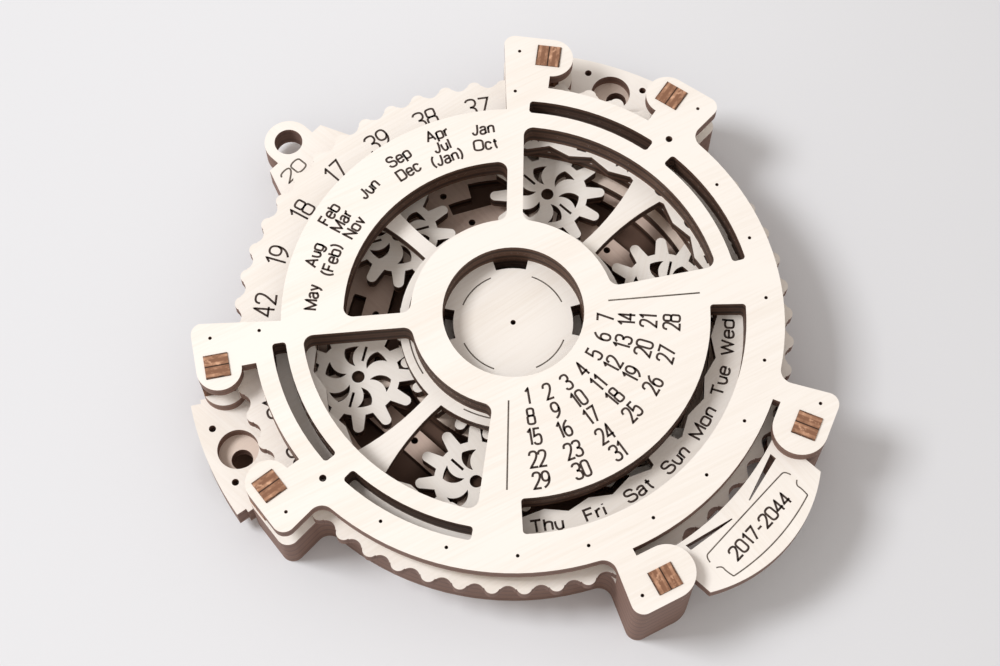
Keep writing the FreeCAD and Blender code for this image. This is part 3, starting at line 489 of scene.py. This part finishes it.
@dataclass(frozen=True)
class PlyFinish:
    """Laser-cut plywood: pale face veneer with grain, and burnt walls that show the veneers.

    Sizes are in mm. Painted light and shade: walls inside the front ring keep the dark burnt colour of walls
    in shade, and those outside it are painted paler as if lit.
    """

    name: str
    turn: float = 0.0
    patch: float = 0.0
    base: float = 0.0
    ply: float = 3.0
    face: Triple = (0.92, 0.86, 0.79)
    grain: Triple = (0.85, 0.77, 0.68)
    char: Triple = (0.05, 0.027, 0.018)
    veneer: Triple = (0.15, 0.08, 0.052)
    painted_lit_wall: Triple = (0.42, 0.26, 0.21)
    painted_lit_share: float = 0.38
    dark_reach: float = 54.0
    pale_reach: float = 59.0
    fibre_scale: Triple = (60, 1500, 60)
    band_scale: Triple = (9, 90, 9)
    wobble_scale: Triple = (300, 300, 80)
    soot_scale: Triple = (160, 160, 900)
    soot: float = 0.55
    fibre_share: float = 0.45
    wobble: float = 0.06
    roughness: float = 0.62
    shine: float = 0.25
    relief: tuple[float, float] = (0.00012, 0.35)

    def shift(self) -> Triple:
        """Offset that gives each piece its own cut of the veneer."""
        return (self.patch, 2 * self.patch, self.patch)

    def grain_value(self, nodes: Nodes) -> Socket:
        """Mix fine fibres and broad bands along the grain.

        Args:
            nodes: the material's tree.

        Returns:
            The socket of the mixed value.
        """
        fibres = nodes.noise(nodes.mapped(self.turn, self.fibre_scale, self.shift()), 4.0, 0.6)
        bands = nodes.noise(nodes.mapped(self.turn, self.band_scale, self.shift()), 3.0, 0.5)
        fibres = nodes.math("MULTIPLY", fibres, self.fibre_share)
        return nodes.math("ADD", fibres, nodes.math("MULTIPLY", bands, 1 - self.fibre_share))

    def walls(self, nodes: Nodes) -> Socket:
        """Colour the walls with burnt and plain veneers that repeat with each ply.

        Args:
            nodes: the material's tree.

        Returns:
            The colour socket.
        """
        place = nodes.add("ShaderNodeTexCoord")
        split = nodes.add("ShaderNodeSeparateXYZ")
        nodes.link(place.outputs["Object"], split.inputs["Vector"])
        height = nodes.math("SUBTRACT", split.outputs["Z"], self.base * MM)
        height = nodes.math("DIVIDE", height, self.ply * MM)
        wobble = nodes.noise(nodes.mapped(0, self.wobble_scale, self.shift()), 2.0, 0.5)
        height = nodes.jitter(height, wobble, self.wobble)
        colour = nodes.ramp(nodes.math("FRACT", height), [
            (0.0, self.char), (0.05, self.veneer), (0.28, self.veneer), (0.34, self.char),
            (0.62, self.char), (0.68, self.veneer), (0.94, self.veneer), (1.0, self.char)])
        soot = nodes.noise(nodes.mapped(0, self.soot_scale, self.shift()), 3.0, 0.6)
        colour = nodes.blend(nodes.math("MULTIPLY", soot, self.soot, True), colour, self.char)
        # Painted light and shade: walls more than 54 mm from the axis, fully beyond 59 mm, are blended
        # towards a paler tone as if lit; those inside keep the dark burnt colour of walls in shade.
        outside = nodes.ramp(nodes.reach(), [(self.dark_reach * MM, BLACK), (self.pale_reach * MM, WHITE)])
        return nodes.blend(nodes.math("MULTIPLY", outside, self.painted_lit_share), colour, self.painted_lit_wall)

    def material(self) -> bpy.types.Material:
        """Face where the surface looks up or down, walls elsewhere.

        Returns:
            The material.
        """
        nodes = Nodes(self.name)
        grain = self.grain_value(nodes)
        face = nodes.ramp(grain, [(0.3, self.grain), (0.56, self.face)])
        nodes.link(nodes.blend(nodes.upright(), face, self.walls(nodes)), nodes.shader.inputs["Base Color"])
        nodes.surface(self.roughness, self.shine)
        nodes.bump(grain, *self.relief)
        return nodes.material


@dataclass(frozen=True)
class PostFinish:
    """Two strips of ply on edge: browned ends with veneer stripes and a dark joint between them."""

    name: str
    axis: float
    strip: float = 2.75
    joint: float = 0.3
    light: Triple = (0.47, 0.25, 0.15)
    middle: Triple = (0.25, 0.12, 0.068)
    dark: Triple = (0.05, 0.025, 0.015)
    pale: Triple = (0.66, 0.38, 0.24)
    grit_scale: Triple = (500, 2600, 120)
    blot_scale: Triple = (520, 620, 300)
    wander: float = 0.16
    roughness: float = 0.7
    shine: float = 0.2
    relief: tuple[float, float] = (0.00015, 0.4)

    def material(self) -> bpy.types.Material:
        """Stripes across the joint, worked out from the distance to the plane through the post's middle.

        Returns:
            The material.
        """
        nodes = Nodes(self.name)
        split = nodes.add("ShaderNodeSeparateXYZ")
        nodes.link(nodes.mapped(-self.axis, (1, 1, 1)), split.inputs["Vector"])
        off = nodes.math("ABSOLUTE", split.outputs["Y"])
        layer = nodes.math("DIVIDE", off, self.strip * MM)
        grit = nodes.noise(nodes.mapped(-self.axis, self.grit_scale), 3.0, 0.6)
        layer = nodes.jitter(layer, grit, self.wander)
        stripes = nodes.ramp(layer, [
            (0.0, self.middle), (0.24, self.light), (0.36, self.middle), (0.58, self.middle),
            (0.68, self.light), (0.84, self.light), (0.95, self.dark)])
        blots = nodes.noise(nodes.mapped(-self.axis, self.blot_scale), 4.0, 0.6)
        stripes = nodes.blend(nodes.ramp(blots, [(0.42, BLACK), (0.62, WHITE)]), stripes, self.middle)
        stripes = nodes.blend(nodes.ramp(blots, [(0.3, WHITE), (0.4, BLACK)]), stripes, self.pale)
        seam = nodes.math("LESS_THAN", off, self.joint / 2 * MM)
        nodes.link(nodes.blend(seam, stripes, self.dark), nodes.shader.inputs["Base Color"])
        nodes.surface(self.roughness, self.shine)
        nodes.bump(grit, *self.relief)
        return nodes.material


@dataclass(frozen=True)
class MottledFinish:
    """Wood in one tone with soft specks, for pegs and for lines burnt by the laser."""

    name: str
    tone: Triple
    speck: Triple
    scale: float = 900.0
    roughness: float = 0.75
    shine: float = 0.15
    relief: tuple[float, float] = (0.00008, 0.4)

    def material(self) -> bpy.types.Material:
        """Two tones mixed by a fine noise.

        Returns:
            The material.
        """
        nodes = Nodes(self.name)
        specks = nodes.noise(nodes.mapped(0, (self.scale, self.scale, self.scale)), 3.0, 0.6)
        colour = nodes.ramp(specks, [(0.35, self.tone), (0.7, self.speck)])
        nodes.link(colour, nodes.shader.inputs["Base Color"])
        nodes.surface(self.roughness, self.shine)
        nodes.bump(specks, *self.relief)
        return nodes.material


BURNT = MottledFinish("burnt_line", (0.04, 0.028, 0.024), (0.09, 0.062, 0.05))
FAINT = MottledFinish("faint_line", (0.11, 0.09, 0.075), (0.2, 0.165, 0.135))
PEG = MottledFinish("dark_peg", (0.03, 0.016, 0.01), (0.07, 0.038, 0.024), 500.0)


def place_piece(piece: bpy.types.Object, body: str, finish: bpy.types.Material) -> None:
    """Give a new piece its finish, let it ride on a body and report it.

    Args:
        piece: the piece.
        body: name of the body that carries it.
        finish: its material.
    """
    piece.data.materials.append(finish)
    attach(piece, body)
    LOG.info("built %s on %s with %d faces", piece.name, body, len(piece.data.polygons))


def dress(name: str, finish: bpy.types.Material) -> None:
    """Give a frame node its finish.

    Args:
        name: name of the node.
        finish: its material.
    """
    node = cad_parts[name]
    node.data.materials.clear()
    node.data.materials.append(finish)
    LOG.info("dressed %s in %s", name, finish.name)


# The calendar


@dataclass
class Case:
    """The standing part: plies, posts and the lettering of the front plate, label and lobe. Sizes in mm."""

    front_top: float = 21.0
    label_top: float = 18.0
    lobe_top: float = 9.0
    depth: float = 0.3
    proud: float = 0.02
    step: float = 360.0 / 28
    month_rows: dict[int, tuple[float, ...]] = field(
        default_factory=lambda: {1: (43.4,), 2: (45.2, 41.1), 3: (46.6, 43.3, 40.0)})
    date_rows: tuple[float, ...] = (20.4, 25.1, 29.8, 34.9, 39.7)
    label_text: str = "2017-2044"
    label_width: float = 18.0
    label_place: tuple[float, float] = (0.0, -72.7)
    lobe_text: str = "20"
    lobe_width: float = 6.2
    lobe_place: tuple[float, float] = (-4.5, 64.45)
    lobe_turn: float = 2.0
    border_ends: Points = ((16.2, -13.6), (31.4, -27.2))
    scroll_top: Points = ((0, -67.1), (11.4, -67.1), (13.0, -67.2), (13.3, -68.7))
    scroll_side: Points = ((13.3, -70.4), (12.2, -71.0), (12.5, -72.4), (12.2, -74.25))
    scroll_base: Points = ((-12.2, -74.25), (0, -77.25), (12.2, -74.25))
    letter_stroke: float = 0.5
    border_stroke: float = 0.36
    label_stroke: float = 0.48
    scroll_stroke: float = 0.3
    lobe_stroke: float = 0.42
    middle_column: int = 3
    patch_step: float = 0.31
    post_angles: tuple[float, ...] = (35.6, 9.0, -70.2, -109.8, 171.0, 144.4)
    # Painted shade: the base and back plates, seen deep below the windows, get darker, browner faces than
    # the other plies.
    painted_shade_faces: dict[str, dict[str, Triple]] = field(default_factory=lambda: {
        "base_plate": {"face": (0.7, 0.54, 0.45), "grain": (0.6, 0.44, 0.36)},
        "back_plate": {"face": (0.8, 0.66, 0.56), "grain": (0.7, 0.56, 0.46)}})
    month_script: Script = Script(2.5, 1.12, 0.22)
    date_script: Script = Script(3.6, 0.86, 0.11)
    label_script: Script = Script(2.9, 1.0, 0.16)
    lobe_script: Script = Script(3.1, 1.0, 0.16)

    def dress(self) -> None:
        """Give every ply, post and pin of the case its finish."""
        plies = {"base_plate": 95.0, "back_plate": 5.0, "lower_frame": 88.0, "middle_ring": -4.0,
                 "label_spacer_left": 60.0, "label_spacer_right": 20.0, "label_plate": 100.0,
                 "window_plate": 84.0, "front_plate": 20.0}
        for number, (name, turn) in enumerate(plies.items()):
            painted_shade_faces = self.painted_shade_faces.get(name, {})
            dress(name, PlyFinish(name + "_ply", turn, self.patch_step * number, **painted_shade_faces).material())
        for number, angle in enumerate(self.post_angles, start=1):
            dress("post_%d" % number, PostFinish("post_end_%d" % number, angle).material())
        peg = PEG.material()
        for name in ["hub_pivot"] + ["planet_axle_%d" % number for number in range(1, 7)]:
            dress(name, peg)

    def months(self) -> Ribbons:
        """Names of the months in seven columns, their tops outward, one to three words deep.

        Returns:
            The bars, not yet built into a mesh.
        """
        columns = (("Jan", "Oct"), ("Apr", "Jul", "(Jan)"), ("Sep", "Dec"), ("Jun",),
                   ("Feb", "Mar", "Nov"), ("Aug", "(Feb)"), ("May",))
        ribbons = Ribbons(self.letter_stroke, self.front_top + self.proud, self.depth)
        for number, words in enumerate(columns):
            for word, radius in zip(words, self.month_rows[len(words)]):
                angle = 90 + (number - self.middle_column) * self.step
                self.month_script.around(ribbons, word, radius, angle, Reading.OUTWARD)
        return ribbons

    def dates(self) -> Ribbons:
        """Numbers 1 to 31 in seven columns, their tops toward the hub.

        Returns:
            The bars, not yet built into a mesh.
        """
        ribbons = Ribbons(self.letter_stroke, self.front_top + self.proud, self.depth)
        for day in range(31):
            angle = -90 + (day % 7 - self.middle_column) * self.step
            radius = self.date_rows[day // 7] + self.date_script.height / 2
            self.date_script.around(ribbons, str(day + 1), radius, angle, Reading.INWARD)
        return ribbons

    def borders(self) -> Ribbons:
        """The two lines beside the dates.

        Returns:
            The bars, not yet built into a mesh.
        """
        ribbons = Ribbons(self.border_stroke, self.front_top + self.proud, self.depth)
        for side in (1, -1):
            ribbons.add(np.array([(side * x, y) for x, y in self.border_ends]))
        return ribbons

    def label(self) -> Ribbons:
        """The range of years on the label.

        Returns:
            The bars, not yet built into a mesh.
        """
        ribbons = Ribbons(self.label_stroke, self.label_top + self.proud, self.depth)
        script = self.label_script.fitted(self.label_text, self.label_width)
        script.engrave(ribbons, self.label_text, self.label_place, 0.0)
        return ribbons

    def scroll(self) -> Ribbons:
        """The frame round the years: a top line with bent ends, two waisted sides and a bowed base.

        Returns:
            The bars, not yet built into a mesh.
        """
        ribbons = Ribbons(self.scroll_stroke, self.label_top + self.proud, self.depth)
        for side in (1, -1):
            for line in (self.scroll_top, self.scroll_side):
                ribbons.add(smooth_curve([(side * x, y) for x, y in line]))
        ribbons.add(smooth_curve(list(self.scroll_base), steps=24))
        return ribbons

    def century(self) -> Ribbons:
        """The number 20 on the hanging lobe.

        Returns:
            The bars, not yet built into a mesh.
        """
        ribbons = Ribbons(self.lobe_stroke, self.lobe_top + self.proud, self.depth)
        script = self.lobe_script.fitted(self.lobe_text, self.lobe_width)
        script.engrave(ribbons, self.lobe_text, self.lobe_place, self.lobe_turn)
        return ribbons

    def build(self) -> None:
        """Make the lettering and dress the case."""
        self.dress()
        burnt, faint = BURNT.material(), FAINT.material()
        place_piece(self.months().build("months_lettering"), "case", burnt)
        place_piece(self.dates().build("dates_lettering"), "case", burnt)
        place_piece(self.borders().build("date_borders"), "case", faint)
        place_piece(self.label().build("label_lettering"), "case", burnt)
        place_piece(self.scroll().build("label_scroll"), "case", faint)
        place_piece(self.century().build("lobe_number"), "case", faint)


@dataclass
class Wheel:
    """The turning part: wheel, hub spacer and sun gear, with the years and weekdays. Sizes in mm."""

    dial_top: float = 14.9
    depth: float = 0.3
    proud: float = 0.02
    step: float = 360.0 / 28
    year_radius: float = 53.5
    weekday_radius: float = 49.1
    inner_arc: float = 12.0
    inner_arc_half: float = 22.3
    outer_arc: float = 23.45
    outer_arc_middle: float = 18.7
    outer_arc_half: float = 11.1
    letter_stroke: float = 0.5
    arc_stroke: float = 0.32
    year_at_top: int = 3
    weekday_at_foot: int = 4
    patch_start: float = 3.1
    patch_step: float = 0.27
    year_script: Script = Script(4.6, 1.0, 0.16)
    weekday_script: Script = Script(2.6, 1.42, 0.26)
    years: str = ("37 38 39 17 18 19 42 20 21 22 23 40 24 25 26 27 33 28 29 30 31 43 32 44 34 35 41 36")
    weekdays: str = "Wed Thu Fri Sat Sun Mon Tue"

    def dress(self) -> None:
        """Give the wheel's pieces their finishes."""
        plies = {"calendar_wheel": (12.0, 12.1), "hub_spacer": (40.0, 9.1), "sun_gear": (75.0, 6.1)}
        for number, (name, (turn, base)) in enumerate(plies.items()):
            patch = self.patch_start + self.patch_step * number
            dress(name, PlyFinish(name + "_ply", turn, patch, base).material())
        dress("hub_dowels", PEG.material())

    def year_numbers(self) -> Ribbons:
        """Last two digits of the years round the outer edge of the dial, their tops outward.

        Returns:
            The bars, not yet built into a mesh.
        """
        ribbons = Ribbons(self.letter_stroke, self.dial_top + self.proud, self.depth)
        for number, word in enumerate(self.years.split()):
            angle = 90 + (number - self.year_at_top) * self.step
            self.year_script.around(ribbons, word, self.year_radius, angle, Reading.OUTWARD)
        return ribbons

    def weekday_names(self) -> Ribbons:
        """Weekdays four times round the inner edge of the dial, their tops toward the hub.

        Returns:
            The bars, not yet built into a mesh.
        """
        ribbons = Ribbons(self.letter_stroke, self.dial_top + self.proud, self.depth)
        names = self.weekdays.split()
        for number in range(28):
            angle = -90 + (number - self.weekday_at_foot) * self.step
            word = names[number % 7]
            self.weekday_script.around(ribbons, word, self.weekday_radius, angle, Reading.INWARD)
        return ribbons

    def hub_arcs(self) -> Ribbons:
        """Thin arcs on the centre disc, seen in the hub hole and just outside the hub ring.

        Returns:
            The bars, not yet built into a mesh.
        """
        ribbons = Ribbons(self.arc_stroke, self.dial_top + self.proud, self.depth)
        for quarter in range(4):
            turn, half = 90 * quarter, self.inner_arc_half
            ribbons.add(arc_line(self.inner_arc, turn - half, turn + half))
            for side in (1, -1):
                middle, half = turn + 45 + side * self.outer_arc_middle, self.outer_arc_half
                ribbons.add(arc_line(self.outer_arc, middle - half, middle + half))
        return ribbons

    def build(self) -> None:
        """Make the lettering and dress the wheel."""
        self.dress()
        burnt, faint = BURNT.material(), FAINT.material()
        place_piece(self.year_numbers().build("year_numbers"), "wheel", burnt)
        place_piece(self.weekday_names().build("weekday_names"), "wheel", burnt)
        place_piece(self.hub_arcs().build("hub_arcs"), "wheel", faint)


@dataclass
class GearTrain:
    """The six planet gears."""

    count: int = 6
    base: float = 6.1
    turn_step: float = 25.0
    patch_start: float = 5.0
    patch_step: float = 0.43

    def build(self) -> None:
        """Dress each gear in its own cut of veneer."""
        for number in range(1, self.count + 1):
            name = "planet_gear_%d" % number
            patch = self.patch_start + self.patch_step * number
            dress(name, PlyFinish(name + "_ply", self.turn_step * number, patch, self.base).material())


# The studio


@dataclass(frozen=True)
class Studio:
    """Floor, sky, lamp and camera. Target and distance are in mm; floor, holes and lamp in metres."""

    target: Triple = (-5.84, -1.43, 21.0)
    distance: float = 423.2
    azimuth: float = -47.07
    elevation: float = 66.46
    focal_px: float = 1929.0
    image_width: float = 1000.0
    sensor: float = 36.0
    clip: tuple[float, float] = (0.01, 20.0)
    floor_half: float = 1.6
    floor_drop: float = 0.0002
    floor_turn: float = 47.0
    floor_roughness: float = 0.85
    floor_shine: float = 0.2
    tone_slope: float = 3.0
    cloud: float = 0.06
    cloud_scale: Triple = (14, 14, 14)
    near_tone: Triple = (0.71, 0.71, 0.72)
    mid_tone: Triple = (0.77, 0.77, 0.78)
    far_tone: Triple = (0.69, 0.69, 0.70)
    painted_shade_tone: Triple = (0.12, 0.07, 0.05)
    shade_inner: float = 0.048
    shade_outer: float = 0.056
    hole_shade_inner: float = 0.005
    hole_shade_outer: float = 0.008
    bracket_hole: Triple = (0.0615, 0.0255, 0.0)
    sky: Triple = (1.0, 0.955, 0.925)
    sky_strength: float = 0.65
    lamp_place: Triple = (-0.56, 0.66, 1.04)
    lamp_size: float = 0.42
    lamp_power: float = 12.3
    lamp_colour: Triple = (0.94, 0.96, 0.99)

    def camera(self) -> None:
        """Stand the camera on its azimuth and elevation and look at the target."""
        data = bpy.data.cameras.new("camera")
        data.sensor_width = self.sensor
        data.lens = self.focal_px * self.sensor / self.image_width
        data.clip_start, data.clip_end = self.clip
        camera = bpy.data.objects.new("camera", data)
        side, lift = math.radians(self.azimuth), math.radians(self.elevation)
        back = Vector((math.sin(side) * math.cos(lift), -math.cos(side) * math.cos(lift), math.sin(lift)))
        camera.location = (Vector(self.target) + back * self.distance) * MM
        camera.rotation_euler = (-back).to_track_quat("-Z", "Y").to_euler()
        bpy.context.scene.collection.objects.link(camera)
        bpy.context.scene.camera = camera

    def floor(self) -> None:
        """A wide pale floor under the base plate, with painted light in a paler band across its middle and
        painted brown shade right below the openings of the object.
        """
        half = self.floor_half
        corners = np.array([[-half, -half, 0], [half, -half, 0], [half, half, 0], [-half, half, 0]])
        floor = mesh_object("floor", corners - [0, 0, self.floor_drop], np.array([[0, 1, 2, 3]]))
        nodes = Nodes("floor_paper")
        split = nodes.add("ShaderNodeSeparateXYZ")
        nodes.link(nodes.mapped(self.floor_turn, (1, 1, 1)), split.inputs["Vector"])
        cloud = nodes.noise(nodes.mapped(0, self.cloud_scale), 3.0, 0.5)
        # Painted light: the floor is paler in a band through the middle of the object and darker away from
        # it to either side, along one direction.
        along = nodes.math("ADD", nodes.math("MULTIPLY", split.outputs["X"], self.tone_slope), 0.5)
        along = nodes.jitter(along, cloud, self.cloud)
        paper = nodes.ramp(along, [(0.1, self.near_tone), (0.5, self.mid_tone), (0.95, self.far_tone)])
        # Painted shade: a dark brown disc under the calendar, out to 48 mm from the axis with a soft edge to
        # 56 mm, and a dark brown patch round each bracket hole, 5 mm with a soft edge to 8 mm, standing in
        # for the shade seen through the openings.
        below = nodes.ramp(nodes.reach(), [(self.shade_inner, WHITE), (self.shade_outer, BLACK)])
        paper = nodes.blend(below, paper, self.painted_shade_tone)
        gap = self.hole_distance(nodes)
        patch = nodes.ramp(gap, [(self.hole_shade_inner, WHITE), (self.hole_shade_outer, BLACK)])
        nodes.link(nodes.blend(patch, paper, self.painted_shade_tone), nodes.shader.inputs["Base Color"])
        nodes.surface(self.floor_roughness, self.floor_shine)
        floor.data.materials.append(nodes.material)

    def hole_distance(self, nodes: Nodes) -> Socket:
        """Measure on the floor how far the nearer bracket hole is, with both sides folded into one.

        Args:
            nodes: the floor's tree.

        Returns:
            The socket of the distance in metres.
        """
        away = (0.0, 1.0, 0.0)
        folded = nodes.add("ShaderNodeVectorMath")
        folded.operation = "ABSOLUTE"
        nodes.link(nodes.mapped(0, (1, 1, 0), away), folded.inputs[0])
        distance = nodes.add("ShaderNodeVectorMath")
        distance.operation = "DISTANCE"
        nodes.link(folded.outputs["Vector"], distance.inputs[0])
        distance.inputs[1].default_value = [place + step for place, step in zip(self.bracket_hole, away)]
        return distance.outputs["Value"]

    def lamp(self) -> None:
        """One square soft lamp at the left that looks at the dial."""
        data = bpy.data.lights.new("window_lamp", "AREA")
        data.shape, data.size = "SQUARE", self.lamp_size
        data.energy, data.color = self.lamp_power, self.lamp_colour
        lamp = bpy.data.objects.new("window_lamp", data)
        lamp.location = self.lamp_place
        lamp.rotation_euler = (-Vector(self.lamp_place)).to_track_quat("-Z", "Y").to_euler()
        bpy.context.scene.collection.objects.link(lamp)

    def build(self) -> None:
        """Set up everything round the object."""
        scene = bpy.context.scene
        scene.view_settings.view_transform = "Standard"
        world = bpy.data.worlds.new("studio")
        world.use_nodes = True
        background = world.node_tree.nodes["Background"]
        background.inputs["Color"].default_value = (*self.sky, 1.0)
        background.inputs["Strength"].default_value = self.sky_strength
        scene.world = world
        self.floor()
        self.lamp()
        self.camera()


def main() -> None:
    """Build the studio and the calendar in order."""
    logging.basicConfig(level=logging.INFO)
    Studio().build()
    Case().build()
    Wheel().build()
    GearTrain().build()


if __name__ == "__main__":
    main()
